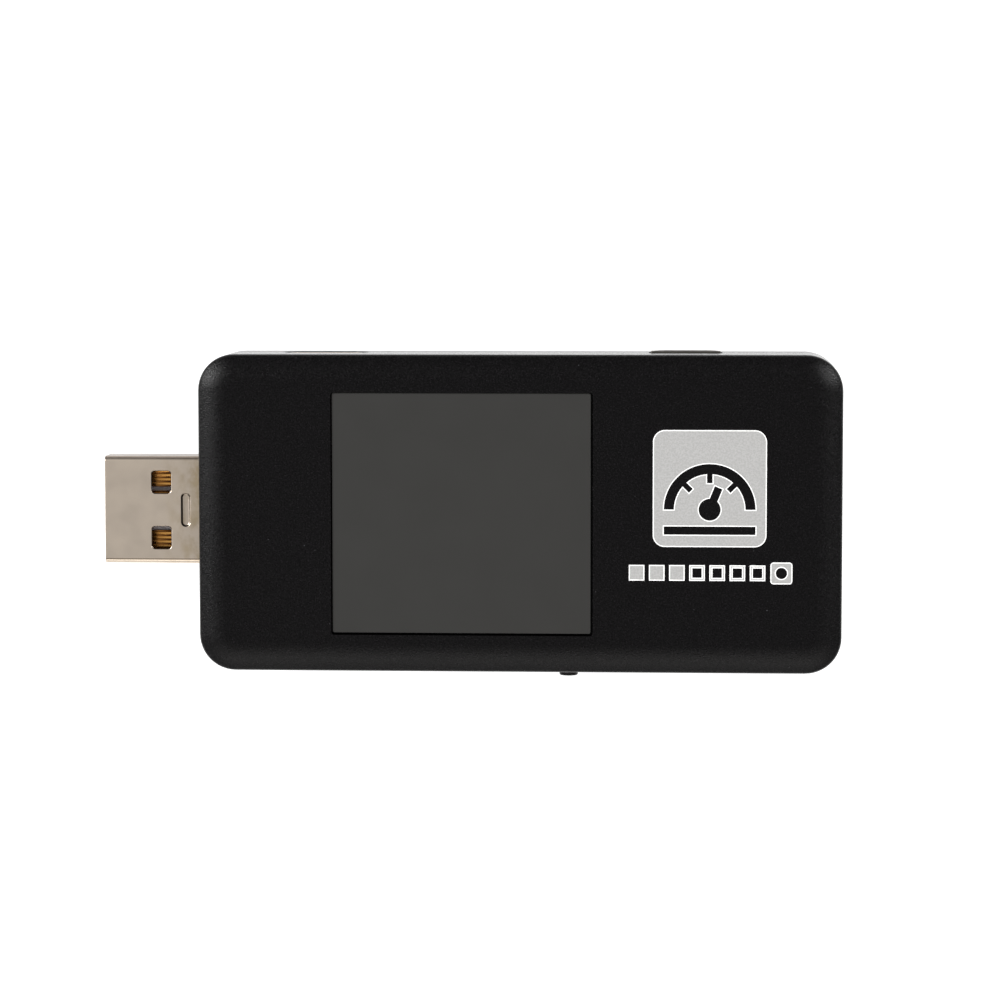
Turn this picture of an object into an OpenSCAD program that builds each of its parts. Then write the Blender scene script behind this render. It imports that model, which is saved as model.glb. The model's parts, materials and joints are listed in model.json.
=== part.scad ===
// USB power meter: a two-part case with a square screen, a USB-A plug at one end, a USB-A socket at
// the other, a USB-C and a micro-USB socket in one side and a menu button in the opposite side.
// Millimetres. The origin is the centre of the underside. +X is the socket end, +Y the side with the
// two small sockets, +Z the screen side.

/* [Case] */
// Length of the case along X
case_l = 70.8; // [70.6:0.1:74]
// Width of the case along Y
case_w = 35; // [34.8:0.1:38]
// Height of the case along Z
case_h = 13.4; // [13.4:0.1:15]
// Corner radius of the case seen from above
corner_r = 4; // [3.8:0.1:4.5]
// Radius of the gentle curve round the rim of the roof
crown_r = 6; // [5:0.5:6.5]
// Radius of the edge between that curve and the walls
edge_r = 0.6; // [0.5:0.1:0.8]
// Rounding of the bottom edge
bottom_r = 2; // [0.5:0.1:2.4]
// Thickness of the side walls
wall = 1.4; // [1.3:0.1:1.5]
// Thickness of the roof
roof_t = 1.6; // [1.5:0.1:1.7]
// Thickness of the floor
floor_t = 1.4; // [1.3:0.1:1.5]
// Height of the seam between the two covers
seam_z = 5; // [4.8:0.1:5.1]

/* [Screen] */
// Length of the lens along X
lens_l = 28.4; // [27:0.1:28.8]
// Width of the lens along Y
lens_w = 26.4; // [25:0.1:26.8]
// Thickness of the lens
lens_t = 0.8; // [0.7:0.05:0.85]
// Depth of the lens below the roof
lens_sink = 0.2; // [0.1:0.05:0.25]
// Centre of the lens along X
lens_x = -6.3; // [-7:0.1:-5.8]
// Centre of the lens along Y
lens_y = 0.1; // [-0.2:0.1:0.3]

/* [Plug and sockets] */
// How far the plug stands out of the case
plug_proud = 11; // [10.6:0.1:12]
// Centre of the USB-C socket along X
usb_c_x = -21.8; // [-22.4:0.1:-21]
// Centre of the micro-USB socket along X
micro_b_x = 18.2; // [16:0.1:19]

/* [Menu button] */
// Centre of the button along X
button_x = 5.3; // [3:0.1:8]
// Height of the button's axis
button_z = 7.4; // [7.3:0.05:7.6]
// Diameter of the button
button_d = 2.06; // [1.8:0.02:2.2]
// How far the button stands out of the case
button_proud = 0.95; // [0.8:0.05:1.2]
// Height of the raised collar round the button
collar_h = 0.5; // [0.3:0.05:0.5]

/* [Front print] */
// Length of the badge along X
badge_l = 12.4; // [10:0.1:13]
// Width of the badge along Y
badge_w = 12.8; // [10:0.1:13]
// Length of the level bar below the badge
bar_l = 18.1; // [16:0.1:19]
// Height of the level bar's end cell
bar_h = 2.4; // [2:0.1:2.6]

/* [Hidden] */
$fn = 48;

// Case
hair = 0.01;
crown_angle = 30;
crown_run = crown_r * sin(crown_angle) + edge_r * (1 - sin(crown_angle));
seam_gap = 0.12;
lip_h = 0.9;
lip_t = 0.6;
lip_gap = 0.1;
cavity_l = case_l - 2 * wall;
cavity_w = case_w - 2 * wall;
cavity_r = corner_r - wall;
ceiling_z = case_h - roof_t;
port_gap = 0.2;

// Main board, held between the posts of the top cover and the bosses of the bottom cover
board_z = 2.9;
board_t = 1.6;
board_top = board_z + board_t;
board_gap = 0.4;

// Screws
screw_x = case_l / 2 - 4.9;
screw_y = case_w / 2 - 5;
screw_r = 0.98;
screw_l = 8;
head_r = 1.8;
head_h = 1.3;
head_sink = 0.3;
boss_r = 3;
post_r = 2;
pilot_r = 1;
pilot_l = 6.2;

// Screen window: the opening is a little larger than the lens and not quite centred on it
opening_l = lens_l + 0.38;
opening_w = lens_w + 0.3;
opening_x = lens_x + 0.05;
opening_y = lens_y - 0.1;
opening_r = 0.3;
lens_r = 0.2;
view_l = lens_l - 2.6;
view_w = lens_w - 1.6;
tape_t = 0.15;
lens_top = case_h - lens_sink;
ledge_z = lens_top - lens_t - tape_t;

// Display module, glued to the ceiling under the window; each level rests on the one below
lcd_l = 31;
lcd_w = 30.2;
tray_t = 0.2;
tray_wall = 0.25;
tray_h = 1.1;
backlight_t = 1;
glass_t = 0.45;
polarizer_t = 0.15;
lcd_tape_t = 0.15;
lcd_z = ceiling_z - tray_t - backlight_t - 2 * glass_t - polarizer_t - lcd_tape_t;
glass_z = lcd_z + tray_t + backlight_t;
front_glass_z = glass_z + glass_t;
polarizer_z = front_glass_z + glass_t;
glass_step = 2;
flex_t = 0.12;
flex_w = 12;
flex_r = 1;
flex_x = lens_x + lcd_l / 2 + 0.2;

// USB-A plug: its own frame has x = 0 at the tip and z = 0 on the board
plug_w = 12;
plug_h = 4.5;
plug_sheet = 0.3;
plug_r = 0.6;
plug_lift = 0.05;
plug_l = plug_proud + 8.4;
plug_tongue_h = 1.95;
plug_tongue_back = 8.9;
plug_contact_t = 0.2;
plug_tab_x = 0.6 - plug_l;
tail_gap = 0.02;
tab_l = 1.6;
power_y = 3.5;
data_y = 1;
wide_data_y = 1.15;

// Pressed groove that locks the plug's shell to its insulator
groove_x = 9.05;
groove_w = 0.9;
groove_l = 3.65;
groove_depth = 0.35;
groove_sheet = 0.12;

// USB-A socket: its own frame has x = 0 at the mouth
socket_w = 13.1;
socket_h = 5.72;
socket_l = 14;
socket_r = 0.6;
socket_sink = 0.2;
socket_tongue_z = 2.95;
socket_tongue_h = 1.8;
socket_block = 2.2;
socket_tab_xs = [1.5 - socket_l, -4.5];

// USB-C socket
usb_c_w = 8.94;
usb_c_h = 3.26;
usb_c_l = 7.5;
usb_c_sheet = 0.3;
usb_c_tongue_w = 6.69;
usb_c_tongue_t = 0.7;
usb_c_pitch = 0.5;
usb_c_tab_xs = [-6.9, -2.6];
usb_c_tab_l = 1;
usb_c_tab_t = 0.3;

// Micro-USB socket
micro_w = 7.5;
micro_h = 2.8;
micro_l = 5.6;
micro_sheet = 0.25;
micro_chamfer = 1.05;
micro_flare = 0.1;
micro_flare_l = 0.5;
micro_proud = 0.2;
micro_pitch = 0.65;
micro_tongue_z = 1.47;

// Side-push switch behind the button, seen along Y from the outside wall inwards
button_gap = 0.07;
collar_r = 1.33;
collar_rim_r = 0.16;
button_flange_r = 1.7;
button_flange_t = 0.6;
inner_wall_y = -cavity_w / 2;
button_seat_y = inner_wall_y + 0.05;
plunger_tip_y = button_seat_y + button_flange_t + 0.03;
plunger_r = 0.92;
plunger_l = 1.32;
switch_face_y = plunger_tip_y + plunger_l;
switch_w = 6;
switch_h = 4.3;
switch_d = 2.7;
cover_t = 0.2;
dome_cup_r = 1.5;
dome_cup_d = 0.9;
dome_rim_r = 1.4;
dome_h = 0.35;
dome_t = 0.08;
plunger_flange_r = 1.25;
plunger_flange_t = 0.3;

// ---------------------------------------------------------------------------------------- outlines

// Rectangle with round corners, centred on the origin
module rounded_rect(l, w, r) {
    square([l - 2 * r, w], center = true);
    square([l, w - 2 * r], center = true);
    for (x = [-1, 1], y = [-1, 1])
        translate([x * (l / 2 - r), y * (w / 2 - r)]) circle(r);
}

// Slot with full round ends, its length along X
module slot_outline(l, w) {
    square([l - w, w], center = true);
    for (x = [-1, 1])
        translate([x * (l - w) / 2, 0]) circle(w / 2);
}

// Half section of the case's rim, from the axis of a corner outwards: two arcs that meet smoothly
// take the roof down to the wall, and one takes the wall to the floor
module rim_section() {
    crown_x = corner_r - crown_run;
    crown_z = case_h - crown_r;
    edge_z = crown_z + (crown_r - edge_r) * cos(crown_angle);
    meet_x = crown_x + crown_r * sin(crown_angle);
    intersection() {
        square([corner_r, case_h]);
        union() {
            square([crown_x, case_h]);
            translate([0, bottom_r]) square([corner_r, edge_z - bottom_r]);
            square([corner_r - bottom_r, edge_z]);
            translate([corner_r - bottom_r, bottom_r]) circle(bottom_r);
            translate([corner_r - edge_r, edge_z]) circle(edge_r);
            intersection() {
                translate([crown_x, crown_z]) circle(crown_r, $fn = 96);
                translate([crown_x, edge_z]) square([meet_x - crown_x, case_h]);
            }
        }
    }
}

// Outline of the flat ribbon seen along Y: off the glass, down past its end and back under it
module flex_outline() {
    bend_top = front_glass_z + flex_t - flex_r;
    bend_bottom = board_top + flex_r;
    translate([flex_x - 2.3, front_glass_z]) square([2.3, flex_t]);
    translate([flex_x - 2.4, board_top]) square([2.4, flex_t]);
    translate([flex_x + flex_r - flex_t, bend_bottom]) square([flex_t, bend_top - bend_bottom]);
    translate([flex_x, bend_top]) quarter_ring(flex_r, flex_t);
    translate([flex_x, bend_bottom]) mirror([0, 1]) quarter_ring(flex_r, flex_t);
}

// Quarter of a flat ring in the first quadrant
module quarter_ring(r, t) {
    intersection() {
        difference() {
            circle(r);
            circle(r - t);
        }
        square([r, r]);
    }
}

// ------------------------------------------------------------------------------------- basic solids

// Plate with round corners standing on z = 0
module plate(l, w, r, h) {
    linear_extrude(h) rounded_rect(l, w, r);
}

// Outline in Y and Z pushed from x = 0 towards -X
module extrude_back(l) {
    translate([-l, 0, 0]) rotate([90, 0, 90]) linear_extrude(l) children();
}

// Round bar along +Y, from y0 to y1 on the button's axis
module bar_y(r, y0, y1) {
    translate([button_x, y0, button_z]) rotate([-90, 0, 0]) cylinder(r = r, h = y1 - y0);
}

// Frame of a connector whose mouth faces +X, -X or +Y
module at_plug() {
    translate([-case_l / 2 - plug_proud, 0, board_top + plug_lift]) rotate([0, 0, 180]) children();
}

module at_socket_a() {
    translate([case_l / 2 - socket_sink, 0, board_top]) children();
}

module at_socket_c() {
    translate([usb_c_x, case_w / 2 - 0.1, board_top]) rotate([0, 0, 90]) children();
}

module at_micro_b() {
    translate([micro_b_x, case_w / 2 + micro_proud, board_top]) rotate([0, 0, 90]) children();
}

// Contact that runs back at height z, drops behind the insulator and ends in a tail on the board
module bent_contact(y, z, w, t, front, back, tail) {
    translate([-back, y - w / 2, z]) cube([back - front, w, t]);
    translate([-back - t, y - w / 2, 0]) cube([t, w, z + t]);
    translate([-back - t - tail, y - w / 2, 0]) cube([tail + t, w, t]);
}

// Pair of solder tabs under a metal shell, one on each side
module shell_tabs(w, sheet, x, l, depth) {
    for (y = [-w / 2, w / 2 - sheet])
        translate([x, y, -depth]) cube([l, sheet, depth + 0.6]);
}

// -------------------------------------------------------------------------------------------- case

// Solid case with all its edges rounded
module case_solid() {
    straight_l = case_l - 2 * corner_r;
    straight_w = case_w - 2 * corner_r;
    translate([-straight_l / 2, -straight_w / 2, 0]) cube([straight_l, straight_w, case_h]);
    for (side = [0, 1]) rotate([0, 0, 180 * side]) {
        translate([straight_l / 2, 0, 0]) rotate([90, 0, 0])
            linear_extrude(straight_w, center = true) rim_section();
        translate([0, straight_w / 2, 0]) rotate([90, 0, 90])
            linear_extrude(straight_l, center = true) rim_section();
    }
    for (corner = [[1, 1, 0], [-1, 1, 90], [-1, -1, 180], [1, -1, 270]])
        translate([corner.x * straight_l / 2, corner.y * straight_w / 2, 0]) rotate([0, 0, corner.z])
            rotate_extrude(angle = 90) rim_section();
}

// Hollow of the case, grown sideways by a margin
module cavity(z0, z1, grow) {
    translate([0, 0, z0]) plate(cavity_l + 2 * grow, cavity_w + 2 * grow, cavity_r + grow, z1 - z0);
}

// Openings in the walls for the plug and the three sockets
module port_openings() {
    depth = 2 * wall;
    at_plug() translate([-plug_proud + wall / 2, 0, plug_h / 2])
        extrude_back(depth) rounded_rect(plug_w + port_gap, plug_h + port_gap, plug_r + port_gap / 2);
    at_socket_a() translate([wall, 0, socket_h / 2])
        extrude_back(2 * depth) rounded_rect(socket_w + 2 * port_gap, socket_h + 2 * port_gap, socket_r);
    at_socket_c() translate([wall, 0, usb_c_h / 2])
        extrude_back(2 * depth) slot_outline(usb_c_w + 2 * port_gap, usb_c_h + 2 * port_gap);
    at_micro_b() translate([wall, 0, micro_h / 2])
        extrude_back(2 * depth) rounded_rect(micro_w + 3 * port_gap, micro_h + 3 * port_gap, 0.5);
}

// Raised ring round the button's hole, with a rounded rim
module button_collar() {
    root = 0.5;
    translate([button_x, root - case_w / 2, button_z]) rotate([90, 0, 0]) {
        cylinder(r = collar_r, h = root + collar_h - collar_rim_r);
        cylinder(r = collar_r - collar_rim_r, h = root + collar_h);
        translate([0, 0, root + collar_h - collar_rim_r]) rotate_extrude()
            translate([collar_r - collar_rim_r, 0]) circle(collar_rim_r, $fn = 24);
    }
}

// Places at the four screws
module at_screws() {
    for (x = [-screw_x, screw_x], y = [-screw_y, screw_y])
        translate([x, y, 0]) children();
}

module top_cover() {
    rib_t = 0.8;
    rib_w = 5;
    rib_h = 1.9;
    rib_x = lcd_l / 2 + 0.3 + rib_t / 2;
    rib_y = 10.5;
    rebate_z = seam_z + lip_h + 0.1;
    color("#1b191b") difference() {
        union() {
            difference() {
                intersection() {
                    case_solid();
                    translate([-case_l, -case_w, seam_z + seam_gap / 2])
                        cube([2 * case_l, 2 * case_w, case_h]);
                }
                cavity(seam_z - 1, ceiling_z, 0);
                cavity(seam_z - 1, rebate_z, lip_t + lip_gap);
            }
            button_collar();
            at_screws() translate([0, 0, board_top]) cylinder(r = post_r, h = ceiling_z - board_top + hair);
            for (x = [-rib_x, rib_x], y = [-rib_y, rib_y])
                translate([lens_x + x, lens_y + y, ceiling_z - rib_h / 2])
                    cube([rib_t, rib_w, rib_h + hair], center = true);
        }
        translate([opening_x, opening_y, ledge_z]) plate(opening_l, opening_w, opening_r, roof_t);
        translate([lens_x, lens_y, ceiling_z - 1]) plate(view_l, view_w, lens_r, roof_t);
        at_screws() translate([0, 0, board_top - hair]) cylinder(r = pilot_r, h = pilot_l);
        bar_y(button_d / 2 + button_gap, -case_w / 2 - 1, inner_wall_y + 1);
        port_openings();
    }
}

module bottom_cover() {
    rest_r = 1.2;
    rest_x = 18;
    rest_y = 12.5;
    panel_l = 20;
    panel_w = 18;
    panel_x = 16;
    panel_depth = 0.15;
    color("#1b191b") difference() {
        union() {
            difference() {
                intersection() {
                    case_solid();
                    translate([-case_l, -case_w, -1])
                        cube([2 * case_l, 2 * case_w, seam_z - seam_gap / 2 + 1]);
                }
                cavity(floor_t, case_h, 0);
            }
            difference() {
                cavity(seam_z - seam_gap / 2 - hair, seam_z + lip_h, lip_t);
                cavity(seam_z - 1, case_h, 0);
            }
            at_screws() cylinder(r = boss_r, h = board_z);
            for (x = [-rest_x, 0, rest_x], y = [-rest_y, rest_y])
                translate([x, y, floor_t - hair]) cylinder(r = rest_r, h = board_z - floor_t + hair);
        }
        at_screws() translate([0, 0, -hair]) cylinder(r = head_r + 0.1, h = head_sink + head_h + hair);
        at_screws() cylinder(r = screw_r + 0.12, h = board_z + 1);
        translate([panel_x, 0, -1]) plate(panel_l, panel_w, 1, 1 + panel_depth);
        port_openings();
    }
}

module case_screws() {
    recess_l = 2;
    recess_w = 0.5;
    recess_d = 0.75;
    color("#3a3a3c") at_screws() difference() {
        translate([0, 0, head_sink]) union() {
            cylinder(r = head_r, h = head_h);
            cylinder(r = screw_r, h = head_h + screw_l);
        }
        for (turn = [0, 90]) rotate([0, 0, turn])
            translate([-recess_l / 2, -recess_w / 2, head_sink - 1])
                cube([recess_l, recess_w, recess_d + 1]);
    }
}

module menu_button() {
    tip_y = -case_w / 2 - button_proud;
    dome_r = 4 * button_d;
    color("#161416") {
        bar_y(button_flange_r, button_seat_y, button_seat_y + button_flange_t);
        intersection() {
            bar_y(button_d / 2, tip_y - 1, button_seat_y + hair);
            translate([button_x, tip_y + dome_r, button_z]) sphere(dome_r);
        }
    }
}

// Badge with a dial, and a level bar below it, in one layer of ink on the roof
module front_print() {
    ink_t = 0.03;
    badge_x = 20.9;
    badge_y = 2.95;
    badge_r = 1.3;
    level_y = -6.3;
    color("#c8c8c6") translate([badge_x, 0, case_h]) linear_extrude(ink_t) {
        translate([0, badge_y]) difference() {
            rounded_rect(badge_l, badge_w, badge_r);
            dial_icon();
        }
        translate([-bar_l / 2, level_y]) level_bar();
    }
}

// Dial face: an arc with three marks over a needle and its hub, and a bar under them
module dial_icon() {
    dial_r = 5;
    arc_t = 1.1;
    mark_l = 1;
    mark_w = 0.6;
    needle_l = 2.6;
    needle_w = 0.9;
    needle_angle = 68;
    hub_r = 1.2;
    hub_y = -2.3;
    base_y = -4.6;
    translate([0, hub_y]) {
        intersection() {
            difference() {
                circle(dial_r);
                circle(dial_r - arc_t);
            }
            translate([-dial_r, 0]) square([2 * dial_r, dial_r]);
        }
        for (a = [45, 90, 135])
            rotate(a) translate([dial_r - arc_t - mark_l, -mark_w / 2]) square([mark_l + 0.2, mark_w]);
        rotate(needle_angle) translate([0, -needle_w / 2]) square([needle_l, needle_w]);
        circle(hub_r);
    }
    translate([0, base_y]) square([2 * dial_r, needle_w], center = true);
}

// Row of level cells, the first ones full and the rest empty, with a round-cornered end cell
module level_bar() {
    cells = 7;
    full_cells = 3;
    cell_h = bar_h * 0.72;
    space = 0.5;
    line = 0.34;
    end_r = 0.35;
    dot_r = 0.62;
    pitch = (bar_l - bar_h - 0.3) / cells;
    for (i = [0 : cells - 1])
        translate([(i + 0.5) * pitch, 0]) difference() {
            square([pitch - space, cell_h], center = true);
            if (i >= full_cells) square([pitch - space - 2 * line, cell_h - 2 * line], center = true);
        }
    translate([bar_l - bar_h / 2, 0]) difference() {
        rounded_rect(bar_h, bar_h, end_r);
        circle(dot_r);
    }
}

// ------------------------------------------------------------------------------------------ screen

module screen_lens() {
    color("#403f3d") translate([lens_x, lens_y, lens_top - lens_t]) plate(lens_l, lens_w, lens_r, lens_t);
}

module lens_tape() {
    color("#202020") translate([lens_x, lens_y, ledge_z]) linear_extrude(tape_t) difference() {
        rounded_rect(lens_l, lens_w, lens_r);
        rounded_rect(view_l + 0.2, view_w + 0.2, lens_r);
    }
}

module lcd_tray() {
    color("silver") translate([lens_x, lens_y, lcd_z]) difference() {
        plate(lcd_l, lcd_w, 0.4, tray_h);
        translate([0, 0, tray_t]) plate(lcd_l - 2 * tray_wall, lcd_w - 2 * tray_wall, 0.15, tray_h);
    }
}

module lcd_backlight() {
    color("white") translate([lens_x, lens_y, lcd_z + tray_t])
        plate(lcd_l - 2 * tray_wall - 0.1, lcd_w - 2 * tray_wall - 0.1, 0.15, backlight_t);
}

module lcd_rear_glass() {
    color("#8a9a98") translate([lens_x, lens_y, glass_z]) plate(lcd_l - 0.6, lcd_w - 0.8, 0.1, glass_t);
}

module lcd_front_glass() {
    color("#5a6668") translate([lens_x - glass_step / 2, lens_y, front_glass_z])
        plate(lcd_l - 0.6 - glass_step, lcd_w - 0.8, 0.1, glass_t);
}

module lcd_polarizer() {
    color("#3c3c3c") translate([lens_x - glass_step / 2, lens_y, polarizer_z])
        plate(lcd_l - 1.2 - glass_step, lcd_w - 1.4, 0.1, polarizer_t);
}

module lcd_tape() {
    color("#252525") translate([lens_x - glass_step / 2, lens_y, polarizer_z + polarizer_t])
        linear_extrude(lcd_tape_t) difference() {
            rounded_rect(lcd_l - 1.2 - glass_step, lcd_w - 1.4, 0.1);
            translate([glass_step / 2, 0]) rounded_rect(view_l + 0.2, view_w + 0.2, lens_r);
        }
}

module lcd_flex() {
    color("#b87a1e") translate([0, lens_y, 0]) rotate([90, 0, 0])
        linear_extrude(flex_w, center = true) flex_outline();
}

// ------------------------------------------------------------------------------------------ switch

module switch_base() {
    color("#1c1c1c") difference() {
        translate([button_x - switch_w / 2, switch_face_y + cover_t, board_top])
            cube([switch_w, switch_d, switch_h]);
        bar_y(dome_cup_r, switch_face_y, switch_face_y + cover_t + dome_cup_d);
    }
}

// Snap dome: a shallow spherical cap whose crown faces the plunger
module switch_dome() {
    cup_floor_y = switch_face_y + cover_t + dome_cup_d;
    sphere_r = (dome_rim_r * dome_rim_r + dome_h * dome_h) / (2 * dome_h);
    color("silver") intersection() {
        translate([button_x, cup_floor_y - dome_h + sphere_r, button_z]) difference() {
            sphere(sphere_r);
            sphere(sphere_r - dome_t);
        }
        bar_y(dome_rim_r, cup_floor_y - dome_h - 1, cup_floor_y);
    }
}

module switch_plunger() {
    flange_y = switch_face_y + cover_t + 0.03;
    nub_r = 0.5;
    nub_y = switch_face_y + cover_t + dome_cup_d - dome_h - 0.03;
    color("#202020") {
        bar_y(plunger_r, plunger_tip_y, flange_y + hair);
        bar_y(plunger_flange_r, flange_y, flange_y + plunger_flange_t);
        bar_y(nub_r, flange_y, nub_y);
    }
}

module switch_cover() {
    ear_l = 1.6;
    ear_h = 2;
    color("silver") {
        difference() {
            translate([button_x - switch_w / 2, switch_face_y, board_top])
                cube([switch_w, cover_t, switch_h]);
            bar_y(plunger_r + 0.06, switch_face_y - 1, switch_face_y + 1);
        }
        for (x = [button_x - switch_w / 2 - cover_t, button_x + switch_w / 2])
            translate([x, switch_face_y, board_top + 1]) cube([cover_t, ear_l, ear_h]);
    }
}

module switch_terminals() {
    foot_l = 1.1;
    foot_w = 0.7;
    foot_h = 1.2;
    foot_t = 0.15;
    foot_x = 2.2;
    back_y = switch_face_y + cover_t + switch_d;
    color("silver") for (x = [-foot_x, foot_x])
        translate([button_x + x - foot_w / 2, back_y, board_top]) {
            cube([foot_w, foot_l, foot_t]);
            cube([foot_w, foot_t, foot_h]);
        }
}

// -------------------------------------------------------------------------------------- USB-A plug

module plug_outline(inset) {
    translate([0, plug_h / 2])
        rounded_rect(plug_w - 2 * inset, plug_h - 2 * inset, plug_r - inset);
}

// Groove's outline, grown by a margin, in place under the plug's top
module plug_groove(margin, depth) {
    translate([-groove_x, 0, plug_h - depth]) rotate([0, 0, 90])
        linear_extrude(depth + margin) slot_outline(groove_l + 2 * margin, groove_w + 2 * margin);
}

// Seam under the plug, where the bent sheet closes with two interlocking keys
module seam_outline() {
    seam_w = 0.12;
    key_l = 1.9;
    key_w = 1;
    key_xs = [-4.2, -9.4];
    difference() {
        translate([-plug_l - 1, -seam_w / 2]) square([plug_l + 2, seam_w]);
        for (x = key_xs)
            translate([x, -1]) square([key_l, 2]);
    }
    for (x = key_xs)
        translate([x, -seam_w / 2]) difference() {
            translate([-seam_w, 0]) square([key_l + 2 * seam_w, key_w]);
            translate([0, -1]) square([key_l, key_w + 1 - seam_w]);
        }
}

module plug_shell() {
    hole_l = 2.15;
    hole_w = 2.5;
    hole_x = 6.33;
    hole_y = 3.1;
    hole_r = 0.4;
    seam_depth = 0.1;
    color("#b0a698") at_plug() {
        difference() {
            union() {
                difference() {
                    extrude_back(plug_l) plug_outline(0);
                    translate([1, 0, 0]) extrude_back(plug_l + 2) plug_outline(plug_sheet);
                }
                intersection() {
                    plug_groove(groove_sheet, groove_depth + groove_sheet);
                    extrude_back(plug_l) plug_outline(0);
                }
            }
            for (y = [-hole_y, hole_y])
                translate([-hole_x, y, -1]) plate(hole_l, hole_w, hole_r, plug_h + 2);
            translate([0, 0, hair]) plug_groove(0, groove_depth + hair);
            translate([0, 0, -hair]) linear_extrude(seam_depth + hair) seam_outline();
        }
        shell_tabs(plug_w, plug_sheet, plug_tab_x, tab_l, board_top - 2.3);
    }
}

module plug_insulator_solid() {
    inset = plug_sheet + 0.05;
    tongue_front = 0.35;
    pocket = groove_sheet + 0.06;
    translate([-tongue_front, 0, 0]) extrude_back(plug_tongue_back) intersection() {
        plug_outline(inset);
        translate([-plug_w / 2, 0]) square([plug_w, plug_sheet + plug_tongue_h]);
    }
    difference() {
        translate([-plug_tongue_back, 0, 0]) extrude_back(plug_l - plug_tongue_back) plug_outline(inset);
        plug_groove(pocket, groove_depth + pocket);
    }
}

// Raised ribs on top of one contact of the plug, from its front edge back
module contact_ribs(count, y, z, front) {
    rib_t = 0.12;
    rib_w = 0.3;
    rib_pitch = 0.48;
    rib_back = 8.2;
    for (i = [0 : count - 1])
        translate([-rib_back, y + (i - (count - 1) / 2) * rib_pitch - rib_w / 2, z])
            cube([rib_back - front, rib_w, rib_t]);
}

module plug_contact_set() {
    top_z = plug_sheet + plug_tongue_h;
    back = plug_l + tail_gap;
    tail = 1.3;
    power_w = 2.1;
    power_front = 1;
    data_w = 1.7;
    data_front = 2;
    rib_start = 0.4;
    for (side = [-1, 1]) {
        bent_contact(side * power_y, top_z, power_w, plug_contact_t, power_front, back, tail);
        bent_contact(side * wide_data_y, top_z, data_w, plug_contact_t, data_front, back, tail);
        contact_ribs(4, side * power_y, top_z + plug_contact_t, power_front + rib_start);
        contact_ribs(3, side * wide_data_y, top_z + plug_contact_t, data_front + rib_start);
    }
}

module plug_tongue() {
    color("#e8e4dc") at_plug() difference() {
        plug_insulator_solid();
        plug_contact_set();
    }
}

module plug_contacts() {
    color("#d9a441") at_plug() plug_contact_set();
}

// ------------------------------------------------------------------------------------ USB-A socket

module socket_outline(inset) {
    translate([0, socket_h / 2])
        rounded_rect(socket_w - 2 * inset, socket_h - 2 * inset, socket_r - inset);
}

// Slot that frees a spring leaf in the roof or the base of the shell
module leaf_slot() {
    leaf_l = 6;
    leaf_w = 2.2;
    leaf_front = 3;
    cut = 0.35;
    translate([-leaf_front - leaf_l, 0, 0]) difference() {
        translate([0, -leaf_w / 2 - cut, -1]) cube([leaf_l, leaf_w + 2 * cut, 2]);
        translate([cut, -leaf_w / 2, -2]) cube([leaf_l, leaf_w, 4]);
    }
}

module socket_a_shell() {
    leaf_y = 3;
    color("#b8b4ac") at_socket_a() {
        difference() {
            extrude_back(socket_l) socket_outline(0);
            translate([1, 0, 0]) extrude_back(socket_l + 2) socket_outline(plug_sheet);
            for (y = [-leaf_y, leaf_y], z = [0, socket_h])
                translate([0, y, z]) leaf_slot();
        }
        for (x = socket_tab_xs)
            shell_tabs(socket_w, plug_sheet, x, tab_l, board_t + 0.5);
    }
}

module socket_a_contact_set() {
    run_z = socket_tongue_z - plug_contact_t;
    front = 1.6;
    back = socket_l + tail_gap;
    tail = 1.2;
    for (y = [-power_y, -data_y, data_y, power_y])
        bent_contact(y, run_z, 1, plug_contact_t, front, back, tail);
}

module socket_a_tongue() {
    tongue_w = 11.1;
    tongue_front = 0.8;
    color("#f0eee8") at_socket_a() difference() {
        union() {
            translate([-socket_l + socket_block, 0, 0]) extrude_back(socket_block)
                socket_outline(plug_sheet + 0.05);
            translate([-tongue_front, 0, 0]) extrude_back(socket_l - socket_block - tongue_front + hair)
                translate([0, socket_tongue_z + socket_tongue_h / 2])
                    square([tongue_w, socket_tongue_h], center = true);
        }
        socket_a_contact_set();
    }
}

module socket_a_contacts() {
    color("#d9a441") at_socket_a() socket_a_contact_set();
}

// ------------------------------------------------------------------------------------ USB-C socket

module usb_c_outline(inset) {
    translate([0, usb_c_h / 2]) slot_outline(usb_c_w - 2 * inset, usb_c_h - 2 * inset);
}

module socket_c_shell() {
    color("#c0bcb4") at_socket_c() {
        difference() {
            extrude_back(usb_c_l) usb_c_outline(0);
            translate([1, 0, 0]) extrude_back(usb_c_l + 2) usb_c_outline(usb_c_sheet);
        }
        at_usb_c_tabs(0, 1.5) cube([usb_c_tab_l, usb_c_tab_t, 1.5 + usb_c_h / 2]);
    }
}

// Corners of the four solder tabs of the USB-C shell, moved out by a margin and down by a depth
module at_usb_c_tabs(margin, depth) {
    tab_y = usb_c_w / 2 - 0.2;
    for (x = usb_c_tab_xs, side = [-1, 1])
        translate([x - margin, side * tab_y - usb_c_tab_t / 2 - margin, -depth]) children();
}

module usb_c_contact_set() {
    w = 0.25;
    t = 0.05;
    mid_z = usb_c_h / 2;
    front = 1.3;
    lower_back = 5.6;
    tail = 0.7;
    for (i = [0 : 11]) {
        y = (i - 5.5) * usb_c_pitch;
        bent_contact(y, mid_z + usb_c_tongue_t / 2, w, t, front, usb_c_l + 0.3, tail);
        translate([-lower_back, y - w / 2, mid_z - usb_c_tongue_t / 2 - t])
            cube([lower_back - front, w, t]);
    }
}

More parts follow.
